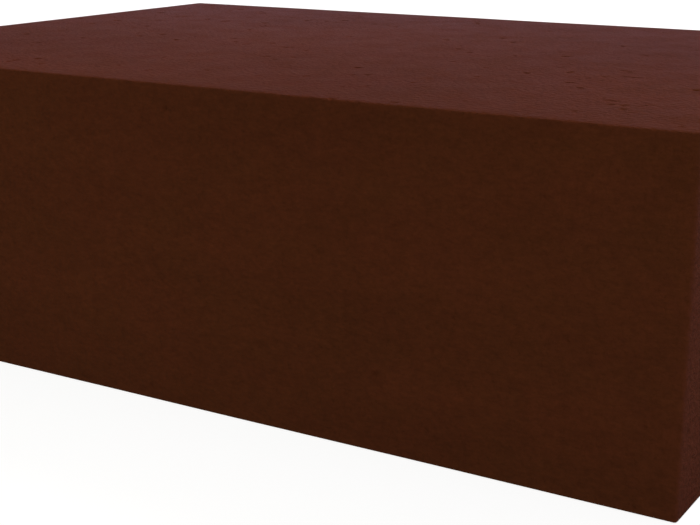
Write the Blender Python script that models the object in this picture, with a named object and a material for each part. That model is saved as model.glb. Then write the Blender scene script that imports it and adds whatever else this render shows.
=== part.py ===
# Clay bar for car detailing: one solid block of plastic clay with finely rounded edges.
# Units are metres and +Z is up. The bar lies flat on its largest side.
# The origin is the middle of the side it lies on, +X runs along its length.

import bpy
import bmesh
from mathutils import Matrix

# Driving dimensions of the block
BAR_LENGTH = 0.0820
BAR_WIDTH = 0.0585
BAR_HEIGHT = 0.0250

# Every edge of the block is rounded by the same small radius
EDGE_RADIUS = 0.00025
EDGE_FACETS = 3

# Dark red-brown clay, dull and slightly greasy
CLAY_COLOUR = (0.075, 0.0165, 0.006, 1.0)
CLAY_ROUGHNESS = 0.6
CLAY_METALLIC = 0.0


def clear_objects():
    for item in list(bpy.data.objects):
        bpy.data.objects.remove(item, do_unlink=True)


def make_clay_material():
    clay = bpy.data.materials.new("clay")
    clay.use_nodes = True
    shader = clay.node_tree.nodes["Principled BSDF"]
    shader.inputs["Base Color"].default_value = CLAY_COLOUR
    shader.inputs["Roughness"].default_value = CLAY_ROUGHNESS
    shader.inputs["Metallic"].default_value = CLAY_METALLIC
    clay.diffuse_color = CLAY_COLOUR
    return clay


def make_block_mesh():
    # The block is centred on its own origin, with its longest side along X
    block = bmesh.new()
    stretch = Matrix.Diagonal((BAR_LENGTH, BAR_WIDTH, BAR_HEIGHT, 1.0))
    bmesh.ops.create_cube(block, size=1.0, matrix=stretch)
    mesh = bpy.data.meshes.new("clay_bar")
    block.to_mesh(mesh)
    block.free()
    mesh.shade_smooth()
    return mesh


def make_clay_bar(clay):
    bar = bpy.data.objects.new("clay_bar", make_block_mesh())
    bpy.context.scene.collection.objects.link(bar)
    bar.data.materials.append(clay)
    bar.location = (0.0, 0.0, BAR_HEIGHT / 2)
    # Hardened normals keep the six sides flat and shade only the edges round
    rounding = bar.modifiers.new("rounded_edges", "BEVEL")
    rounding.limit_method = "ANGLE"
    rounding.width = EDGE_RADIUS
    rounding.segments = EDGE_FACETS
    rounding.harden_normals = True
    return bar


clear_objects()
make_clay_bar(make_clay_material())
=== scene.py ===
import math
import random

import bmesh
import bpy
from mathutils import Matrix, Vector, kdtree, noise


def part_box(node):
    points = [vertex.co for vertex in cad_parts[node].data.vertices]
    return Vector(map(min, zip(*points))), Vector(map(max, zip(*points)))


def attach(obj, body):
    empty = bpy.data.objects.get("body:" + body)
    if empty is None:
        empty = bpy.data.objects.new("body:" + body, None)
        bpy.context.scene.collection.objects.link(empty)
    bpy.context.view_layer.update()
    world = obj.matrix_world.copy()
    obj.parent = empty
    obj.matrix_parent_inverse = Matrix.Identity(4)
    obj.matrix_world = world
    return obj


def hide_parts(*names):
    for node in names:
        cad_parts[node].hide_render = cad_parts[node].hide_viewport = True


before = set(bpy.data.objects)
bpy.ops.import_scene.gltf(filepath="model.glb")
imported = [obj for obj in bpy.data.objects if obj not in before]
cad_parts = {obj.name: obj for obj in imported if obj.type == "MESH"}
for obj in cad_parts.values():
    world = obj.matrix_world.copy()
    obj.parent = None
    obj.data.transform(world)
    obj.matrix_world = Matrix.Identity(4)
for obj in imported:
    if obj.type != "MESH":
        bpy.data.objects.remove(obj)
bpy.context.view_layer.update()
barLow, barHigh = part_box("clay_bar")
barSize = barHigh - barLow
barMiddle = (barLow + barHigh) / 2
mm = 0.001  # all lengths are in metres
squareCentimetre = 0.0001
print("frame loaded")


# Clay block: shape

block = {
    "edgeRadius": 0.25 * mm,
    "edgeSegments": 3,
    "edgeSupport": 0.10 * mm,
    "wearWidth": 0.55 * mm,
    "gridStep": 0.85 * mm,
    "nearPitCuts": 1,
    "inPitCuts": 2,
    "nearPitReach": 0.8 * mm,
    "inPitReach": 0.2 * mm,
    "straightCorner": math.radians(178),
    "unevenness": 0.04 * mm,
    "unevennessSize": 14 * mm,
}

# Open bubbles, short tears and shallow dents in the skin of the clay.
# A margin is how far a hollow's middle stays from the edges of its side.
pits = {
    "seed": 41,
    "perSquareCm": 6.0,
    "margin": 0.3 * mm,
    "radius": (0.10 * mm, 0.36 * mm),
    "steepness": (0.12, 0.65),  # depth as a share of the radius
    "sideShare": 0.6,
    "sideSize": 0.6,
    "blobs": (2, 4),
    "blobSpread": 0.9,
    "blobShrink": (0.5, 0.9),
    "raggedness": 0.6,
}

tears = {
    "perSquareCm": 0.12,
    "margin": 3 * mm,
    "length": (1.0 * mm, 2.8 * mm),
    "radius": 0.16 * mm,
    "depth": 0.08 * mm,
    "spacing": 0.5,  # from one hollow to the next, as a share of the radius
    "endRadius": 0.45,  # as a share of the radius in the middle
    "bluntness": 0.6,
    "slant": 0.3,
    "wander": 0.06,
}

dents = {
    "perSquareCm": 0.5,
    "margin": 2 * mm,
    "radius": (1.2 * mm, 4.0 * mm),
    "depth": (0.02 * mm, 0.06 * mm),
}

# The form of every hollow
hollowForm = {
    "bowl": 1.1,  # above 1 the rim is softer, below 1 it is sharper
    "raggedSize": 0.7,  # of the bites in a ragged rim, as a share of the radius
    "rimReach": 1.4,  # how far out a rim is looked for, as a share of the widest radius
}


def selectEdges(mesh, wanted):
    bpy.ops.mesh.select_all(action="DESELECT")
    for edge in mesh.edges:
        if wanted(edge):
            edge.select_set(True)


def selectFaces(mesh, wanted):
    bpy.ops.mesh.select_all(action="DESELECT")
    for face in mesh.faces:
        if wanted(face):
            face.select_set(True)


def addBlock():
    bpy.ops.object.select_all(action="DESELECT")
    bpy.ops.mesh.primitive_cube_add(size=1, location=barMiddle, scale=barSize)
    bar = bpy.context.object
    bar.name = "clay_block"
    bar.data.name = "clay_block"
    bpy.ops.object.transform_apply(location=True, rotation=True, scale=True)
    bpy.ops.object.mode_set(mode="EDIT")
    bpy.ops.mesh.select_mode(type="EDGE")
    bpy.ops.mesh.select_all(action="SELECT")
    bpy.ops.mesh.bevel(offset=block["edgeRadius"], segments=block["edgeSegments"], affect="EDGES")
    bpy.ops.object.mode_set(mode="OBJECT")
    return bar


def supportEdges(bar):
    # A cut close beside each rounded edge keeps the shading of the flat sides flat
    bpy.ops.object.mode_set(mode="EDIT")
    inwards = block["edgeRadius"] + block["edgeSupport"]
    for axis, sign, _ in barSides():
        place = Vector(barMiddle)
        place[axis] += sign * (barSize[axis] / 2 - inwards)
        across = Vector((0, 0, 0))
        across[axis] = 1
        bpy.ops.mesh.select_all(action="SELECT")
        bpy.ops.mesh.bisect(plane_co=place, plane_no=across)
    bpy.ops.object.mode_set(mode="OBJECT")


def cutInRings(bar):
    # All long edges along one axis are divided together, which rings the block
    bpy.ops.object.mode_set(mode="EDIT")
    for axis in range(3):
        flat = barSize[axis] - 2 * block["edgeRadius"] - 2 * block["edgeSupport"]

        def isLong(edge):
            return abs(edge.verts[0].co[axis] - edge.verts[1].co[axis]) > 0.9 * flat

        mesh = bmesh.from_edit_mesh(bar.data)
        selectEdges(mesh, isLong)
        bmesh.update_edit_mesh(bar.data)
        bpy.ops.mesh.subdivide(number_cuts=round(flat / block["gridStep"]) - 1)
    bpy.ops.object.mode_set(mode="OBJECT")


def barSides():
    # Each side as its normal's axis and sign, and the two axes that it spans
    for axis in range(3):
        for sign in (-1, 1):
            yield axis, sign, [other for other in range(3) if other != axis]


def pointOnSide(axis, sign, spans, dice, margin):
    point = Vector(barMiddle)
    point[axis] += sign * barSize[axis] / 2
    for span in spans:
        point[span] = dice.uniform(barLow[span] + margin, barHigh[span] - margin)
    return point


def countOnSide(perSquareCm, spans):
    return round(perSquareCm * (barSize[spans[0]] * barSize[spans[1]] / squareCentimetre))


def addPit(small, centre, size, spans, dice):
    # A few hollows that overlap, each smaller than the last
    smallest, widest = pits["radius"]
    radius = smallest + (size * widest - smallest) * dice.random() ** 2
    steepness = dice.uniform(*pits["steepness"])
    for _ in range(dice.randint(*pits["blobs"])):
        small.append((centre.copy(), radius, steepness * radius))
        for span in spans:
            centre[span] += dice.uniform(-pits["blobSpread"], pits["blobSpread"]) * radius
        radius *= dice.uniform(*pits["blobShrink"])


def addTear(small, centre, spans, dice):
    # A row of hollows that winds a little and thins out at both ends
    turn = dice.gauss(0, tears["slant"])
    length = dice.uniform(*tears["length"])
    steps = int(length / (tears["spacing"] * tears["radius"]))
    for step in range(steps):
        along = step / (steps - 1)
        thick = math.sin(math.pi * along) ** tears["bluntness"]
        share = tears["endRadius"] + (1 - tears["endRadius"]) * thick
        small.append((centre.copy(), tears["radius"] * share, tears["depth"] * thick))
        turn += dice.gauss(0, tears["wander"])
        centre[spans[0]] += math.cos(turn) * length / steps
        centre[spans[1]] += math.sin(turn) * length / steps


def makeHollows():
    # A hollow is a point, a radius and a depth
    dice = random.Random(pits["seed"])
    small = []
    wide = []
    for axis, sign, spans in barSides():
        # The upright sides have fewer and smaller pits than the top and the base
        share, size = (1.0, 1.0) if axis == 2 else (pits["sideShare"], pits["sideSize"])
        for _ in range(countOnSide(share * pits["perSquareCm"], spans)):
            addPit(small, pointOnSide(axis, sign, spans, dice, pits["margin"]), size, spans, dice)
        for _ in range(countOnSide(tears["perSquareCm"], spans)):
            addTear(small, pointOnSide(axis, sign, spans, dice, tears["margin"]), spans, dice)
        for _ in range(countOnSide(dents["perSquareCm"], spans)):
            centre = pointOnSide(axis, sign, spans, dice, dents["margin"])
            wide.append((centre, dice.uniform(*dents["radius"]), dice.uniform(*dents["depth"])))
    return small, wide


def treeOf(hollows):
    tree = kdtree.KDTree(len(hollows))
    for index, hollow in enumerate(hollows):
        tree.insert(hollow[0], index)
    tree.balance()
    return tree


def refineAround(bar, hollows, reach, cuts):
    # Faces within reach of a hollow's rim get a finer grid
    tree = treeOf(hollows)
    widest = max(hollow[1] for hollow in hollows) + reach

    def isNear(face):
        for _, index, distance in tree.find_range(face.calc_center_median(), widest):
            if distance < hollows[index][1] + reach:
                return True
        return False

    bpy.ops.object.mode_set(mode="EDIT")
    bpy.ops.mesh.select_mode(type="FACE")
    selectFaces(bmesh.from_edit_mesh(bar.data), isNear)
    bmesh.update_edit_mesh(bar.data)
    bpy.ops.mesh.subdivide(number_cuts=cuts, ngon=False)
    bpy.ops.object.mode_set(mode="OBJECT")


def splitStraightCorners(bar):
    # Where fine and coarse faces meet, a face can have three corners in one line.
    # It is cut from the middle one, so that no sliver is left.
    bpy.ops.object.mode_set(mode="EDIT")
    mesh = bmesh.from_edit_mesh(bar.data)
    selectFaces(mesh, lambda face: max(loop.calc_angle() for loop in face.loops) > block["straightCorner"])
    bmesh.update_edit_mesh(bar.data)
    bpy.ops.mesh.quads_convert_to_tris(quad_method="BEAUTY", ngon_method="BEAUTY")
    bpy.ops.object.mode_set(mode="OBJECT")


def hollowDepths(bar, hollows, raggedness):
    # The depth at each point, and how far it is down in its own hollow, 0 at the rim and 1 at the bottom
    tree = treeOf(hollows)
    widest = hollowForm["rimReach"] * max(hollow[1] for hollow in hollows)
    depths = []
    shares = []
    for vertex in bar.data.vertices:
        deepest = 0.0
        lowest = 0.0
        for _, index, distance in tree.find_range(vertex.co, widest):
            centre, radius, depth = hollows[index]
            ragged = 1 + raggedness * noise.noise(vertex.co / (hollowForm["raggedSize"] * radius))
            fromCentre = distance / (radius * ragged)
            if fromCentre < 1:
                down = (1 - fromCentre * fromCentre) ** hollowForm["bowl"]
                deepest = max(deepest, depth * down)
                lowest = max(lowest, down)
        depths.append(deepest)
        shares.append(lowest)
    return depths, shares


def pressIn(bar, name, depths):
    # The hollows are weights, and a displace modifier presses them in along the normals
    deepest = max(depths)
    group = bar.vertex_groups.new(name=name)
    for index, depth in enumerate(depths):
        if depth > 0:
            group.add([index], depth / deepest, "REPLACE")
    press = bar.modifiers.new(name, "DISPLACE")
    press.vertex_group = name
    press.strength = -deepest
    press.mid_level = 0
    bpy.ops.object.modifier_apply(modifier=name)
    bar.vertex_groups.remove(bar.vertex_groups[name])


def makeUneven(bar):
    # Slow waves, always inwards, so that the block keeps within its size
    waves = bpy.data.textures.new("slow waves", "CLOUDS")
    waves.noise_scale = block["unevennessSize"]
    waves.noise_depth = 1
    sag = bar.modifiers.new("uneven", "DISPLACE")
    sag.texture = waves
    sag.texture_coords = "LOCAL"
    sag.strength = block["unevenness"]
    sag.mid_level = 1
    bpy.ops.object.modifier_apply(modifier="uneven")


def keepAttribute(bar, name, values):
    attribute = bar.data.attributes.new(name, "FLOAT", "POINT")
    attribute.data.foreach_set("value", values)


def edgeNearness(co):
    # 1 on the block's edges, 0 from a little way in on the flat sides
    gaps = sorted(barSize[axis] / 2 - abs(co[axis] - barMiddle[axis]) for axis in range(3))
    return max(0.0, 1 - gaps[1] / block["wearWidth"])


def makeClayBlock():
    bar = addBlock()
    supportEdges(bar)
    cutInRings(bar)
    small, wide = makeHollows()
    refineAround(bar, small, block["nearPitReach"], block["nearPitCuts"])
    refineAround(bar, small, block["inPitReach"], block["inPitCuts"])
    splitStraightCorners(bar)
    print("clay block cut:", len(bar.data.vertices), "points,", len(small), "hollows")
    edges = [edgeNearness(vertex.co) for vertex in bar.data.vertices]
    pitDepths, pitShares = hollowDepths(bar, small, pits["raggedness"])
    dentDepths, _ = hollowDepths(bar, wide, 0.0)
    pressIn(bar, "pits", pitDepths)
    pressIn(bar, "dents", dentDepths)
    makeUneven(bar)
    keepAttribute(bar, "pitShade", pitShares)
    keepAttribute(bar, "edgeWear", edges)
    bpy.ops.object.shade_smooth()
    print("clay block pressed:", sum(len(face.vertices) - 2 for face in bar.data.polygons), "triangles")
    return bar


# Clay: material

clay = {
    "redder": (0.081, 0.0192, 0.0077),
    "browner": (0.077, 0.0194, 0.0073),
    "kneading": (0.15, 0.22, 0.22),
    # Painted shade in the pits: their insides are mixed towards this dark colour, by up to the share
    # below, most at the bottom of each hollow
    "pitPaintedShade": (0.040, 0.0085, 0.0035),
    "pitPaintedShadeShare": 0.25,
    "edgeColour": (0.094, 0.0225, 0.0090),
    "edgeTint": 0.15,
    "roughness": (0.65, 0.73),
    "patches": (0.35, 0.35, 0.35),
    "specular": 0.05,
    "patchBand": (0.35, 0.65),
    "toneBand": (0.3, 0.7),
}

# A band is the stretch of noise values over which a pattern goes from its one end to its other.
# The clay was pressed out along its length, so its clouds and grain are drawn out that way.
# A scale is for each mm along, across and up the bar, and a higher one makes a finer pattern.
# A tone darkens and lightens the colour.
tones = (
    # name, scale, shift, octaves, roughness, darkest, lightest
    # The first tone is painted shade: slow bands, mostly up the bar, placed so that the upright sides get
    # darker towards the bottom under a lighter band
    ("painted shade bands", (0.015, 0.02, 0.09), (-9.5, 2.1, -9.8), 1.0, 0.5, 0.90, 1.10),
    ("clouds", (0.12, 0.25, 0.25), (0, 0, 0), 2.0, 0.5, 0.97, 1.03),
    ("mottles", (0.9, 1.8, 1.8), (0, 0, 0), 2.0, 0.5, 0.93, 1.07),
    ("specks", (1.8, 4.0, 4.0), (0, 0, 0), 3.0, 0.7, 0.88, 1.12),
)

# A relief raises the surface, by up to its height in mm. The drag lines mark the upright sides only,
# because a pattern doesn't change in a direction where its scale is 0.
reliefs = (
    # name, scale, octaves, roughness, height
    ("lumps", (2.4, 2.6, 2.6), 2.0, 0.5, 0.18),
    ("grain", (3.5, 4.5, 4.5), 3.0, 0.6, 0.08),
    ("drag lines", (0.15, 0.0, 3.0), 2.0, 0.6, 0.012),
)


def linkUp(tree, source, target):
    tree.links.new(source, target)


def addNode(tree, kind, place, **values):
    node = tree.nodes.new(kind)
    node.location = place
    for name, value in values.items():
        setattr(node, name, value)
    return node


def addNoise(tree, coordinates, place, scale, octaves, rough, shift=(0, 0, 0)):
    stretch = addNode(tree, "ShaderNodeMapping", (place[0] - 200, place[1]))
    stretch.inputs["Location"].default_value = shift
    stretch.inputs["Scale"].default_value = [share / mm for share in scale]
    linkUp(tree, coordinates, stretch.inputs["Vector"])
    cloud = addNode(tree, "ShaderNodeTexNoise", place)
    cloud.inputs["Scale"].default_value = 1.0
    cloud.inputs["Detail"].default_value = octaves
    cloud.inputs["Roughness"].default_value = rough
    linkUp(tree, stretch.outputs["Vector"], cloud.inputs["Vector"])
    return cloud.outputs["Fac"]


def addMath(tree, operation, place, first, second, clamp=False):
    step = addNode(tree, "ShaderNodeMath", place, operation=operation, use_clamp=clamp)
    for socket, value in zip(step.inputs, (first, second)):
        if isinstance(value, (int, float)):
            socket.default_value = value
        else:
            linkUp(tree, value, socket)
    return step.outputs[0]


def addRange(tree, place, value, band, ends):
    span = addNode(tree, "ShaderNodeMapRange", place)
    for name, number in zip(("From Min", "From Max", "To Min", "To Max"), (*band, *ends)):
        span.inputs[name].default_value = number
    linkUp(tree, value, span.inputs["Value"])
    return span.outputs["Result"]


def addMix(tree, place, factor, first, second, blend="MIX"):
    mix = addNode(tree, "ShaderNodeMix", place, data_type="RGBA", blend_type=blend)
    for socket, value in ((mix.inputs[0], factor), (mix.inputs[6], first), (mix.inputs[7], second)):
        if isinstance(value, (int, float)):
            socket.default_value = value
        elif isinstance(value, tuple):
            socket.default_value = (*value, 1)
        else:
            linkUp(tree, value, socket)
    return mix.outputs[2]


def addColour(tree, co):
    # Redder and browner clay, then the tones with their painted shade bands, painted shade in the pits and
    # the rubbed edges
    kneaded = addNoise(tree, co, (-1700, 700), clay["kneading"], 3.0, 0.6)
    share = addRange(tree, (-1500, 700), kneaded, clay["patchBand"], (0.0, 1.0))
    colour = addMix(tree, (-1300, 700), share, clay["browner"], clay["redder"])
    for step, (_, scale, shift, octaves, rough, darkest, lightest) in enumerate(tones):
        tone = addNoise(tree, co, (-1700, 450 - 250 * step), scale, octaves, rough, shift)
        tone = addRange(tree, (-1500, 450 - 250 * step), tone, clay["toneBand"], (darkest, lightest))
        colour = addMix(tree, (-1100 + 200 * step, 600), 1.0, colour, tone, "MULTIPLY")
    # Painted shade in the pits, strongest at the bottom of each hollow
    pit = addNode(tree, "ShaderNodeAttribute", (-900, 300), attribute_name="pitShade")
    pitPaintedShadeMix = addMath(tree, "MULTIPLY", (-700, 300), pit.outputs["Fac"], clay["pitPaintedShadeShare"], True)
    colour = addMix(tree, (-400, 600), pitPaintedShadeMix, colour, clay["pitPaintedShade"])
    edge = addNode(tree, "ShaderNodeAttribute", (-900, 100), attribute_name="edgeWear")
    edgeShare = addMath(tree, "MULTIPLY", (-700, 100), edge.outputs["Fac"], clay["edgeTint"], True)
    return addMix(tree, (-200, 600), edgeShare, colour, clay["edgeColour"])


def addRoughness(tree, co):
    # Greasy and drier patches
    patches = addNoise(tree, co, (-900, -150), clay["patches"], 2.0, 0.5)
    return addRange(tree, (-700, -150), patches, clay["patchBand"], clay["roughness"])


def addRelief(tree, co):
    # The heights add up in mm
    height = 0.0
    for step, (_, scale, octaves, rough, rise) in enumerate(reliefs):
        relief = addNoise(tree, co, (-1300, -400 - 250 * step), scale, octaves, rough)
        relief = addMath(tree, "MULTIPLY", (-1100, -400 - 250 * step), relief, rise)
        height = addMath(tree, "ADD", (-900 + 200 * step, -500), relief, height)
    bump = addNode(tree, "ShaderNodeBump", (-300, -400))
    bump.inputs["Strength"].default_value = 1.0
    bump.inputs["Distance"].default_value = mm
    linkUp(tree, height, bump.inputs["Height"])
    return bump.outputs["Normal"]


def makeClayMaterial():
    material = bpy.data.materials.new("pressed clay")
    material.use_nodes = True
    tree = material.node_tree
    shader = tree.nodes["Principled BSDF"]
    shader.inputs["Specular IOR Level"].default_value = clay["specular"]
    co = addNode(tree, "ShaderNodeTexCoord", (-2200, 0)).outputs["Object"]
    linkUp(tree, addColour(tree, co), shader.inputs["Base Color"])
    linkUp(tree, addRoughness(tree, co), shader.inputs["Roughness"])
    linkUp(tree, addRelief(tree, co), shader.inputs["Normal"])
    print("clay material made")
    return material


bar = makeClayBlock()
bar.data.materials.clear()
bar.data.materials.append(makeClayMaterial())
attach(bar, "root")
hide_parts("clay_bar")


# Studio: floor, light and camera

studio = {
    "floorSize": 4.0,
    "floorGlow": 0.88,
    "floorColour": (0.24, 0.24, 0.27),
    "around": 0.56,
    "aroundInGloss": 0.0,
    "aroundColour": (1.0, 0.99, 0.73),
}

lamps = (
    # name, place, width and height, power in watts, colour, lights the clay, glosses it
    ("back softbox", (0.12, 0.45, 0.42), (0.45, 0.45), 4.30, (1.0, 0.80, 0.76), True, False),
    ("side softbox", (0.50, -0.08, 0.10), (0.30, 0.30), 0.72, (0.54, 0.48, 1.0), True, True),
    ("low strip", (-0.02, 0.07, 0.035), (0.30, 0.02), 0.028, (1.0, 0.68, 0.98), False, True),
    ("end strip", (0.30, 0.12, 0.05), (0.15, 0.10), 0.15, (0.40, 0.35, 1.0), False, True),
)

camera = {
    "lens": 71.66,
    "clipStart": 5 * mm,
    "azimuth": 31.6,
    "elevation": 15.24,
    "fromNearCorner": (0.02464, -0.07949, 0.01417),
}


def addFloor():
    bpy.ops.mesh.primitive_plane_add(size=studio["floorSize"], location=(0, 0, barLow.z))
    floor = bpy.context.object
    floor.name = "floor"
    pale = bpy.data.materials.new("pale floor")
    pale.use_nodes = True
    shader = pale.node_tree.nodes["Principled BSDF"]
    shader.inputs["Base Color"].default_value = (*studio["floorColour"], 1)
    shader.inputs["Roughness"].default_value = 1.0
    shader.inputs["Specular IOR Level"].default_value = 0.0
    shader.inputs["Emission Color"].default_value = (1, 1, 1, 1)
    shader.inputs["Emission Strength"].default_value = studio["floorGlow"]
    floor.data.materials.append(pale)
    floor.visible_diffuse = False
    floor.visible_glossy = False


def addWorld():
    # White behind the block, soft light from all round, and little to mirror
    world = bpy.data.worlds.new("studio")
    bpy.context.scene.world = world
    world.use_nodes = True
    tree = world.node_tree
    background = tree.nodes["Background"]
    path = addNode(tree, "ShaderNodeLightPath", (-800, 0))
    glossy = addNode(tree, "ShaderNodeMix", (-500, -100), data_type="FLOAT")
    glossy.inputs[2].default_value = studio["around"]
    glossy.inputs[3].default_value = studio["aroundInGloss"]
    linkUp(tree, path.outputs["Is Glossy Ray"], glossy.inputs[0])
    seen = addNode(tree, "ShaderNodeMix", (-300, 0), data_type="FLOAT")
    seen.inputs[3].default_value = 1.0
    linkUp(tree, glossy.outputs[0], seen.inputs[2])
    linkUp(tree, path.outputs["Is Camera Ray"], seen.inputs[0])
    linkUp(tree, seen.outputs[0], background.inputs["Strength"])
    tint = addNode(tree, "ShaderNodeMix", (-300, 250), data_type="RGBA")
    tint.inputs[6].default_value = (*studio["aroundColour"], 1)
    tint.inputs[7].default_value = (1, 1, 1, 1)
    linkUp(tree, path.outputs["Is Camera Ray"], tint.inputs[0])
    linkUp(tree, tint.outputs[2], background.inputs["Color"])


def addLamp(name, place, size, power, colour, lights, glosses):
    lamp = bpy.data.lights.new(name, "AREA")
    lamp.shape = "RECTANGLE"
    lamp.size, lamp.size_y = size
    lamp.energy = power
    lamp.color = colour
    holder = bpy.data.objects.new(name, lamp)
    bpy.context.scene.collection.objects.link(holder)
    holder.location = place
    holder.rotation_euler = (Vector(place) - barMiddle).to_track_quat("Z", "Y").to_euler()
    holder.visible_camera = False
    holder.visible_diffuse = lights
    holder.visible_glossy = glosses


def addCamera():
    lens = bpy.data.cameras.new("camera")
    lens.lens = camera["lens"]
    lens.clip_start = camera["clipStart"]
    holder = bpy.data.objects.new("camera", lens)
    bpy.context.scene.collection.objects.link(holder)
    nearCorner = Vector((barHigh.x, barLow.y, barHigh.z))
    holder.location = nearCorner + Vector(camera["fromNearCorner"])
    holder.rotation_euler = (math.radians(90 - camera["elevation"]), 0, math.radians(camera["azimuth"]))
    bpy.context.scene.camera = holder


addFloor()
addWorld()
for lampValues in lamps:
    addLamp(*lampValues)
addCamera()
bpy.context.scene.view_settings.view_transform = "Standard"
print("studio ready")
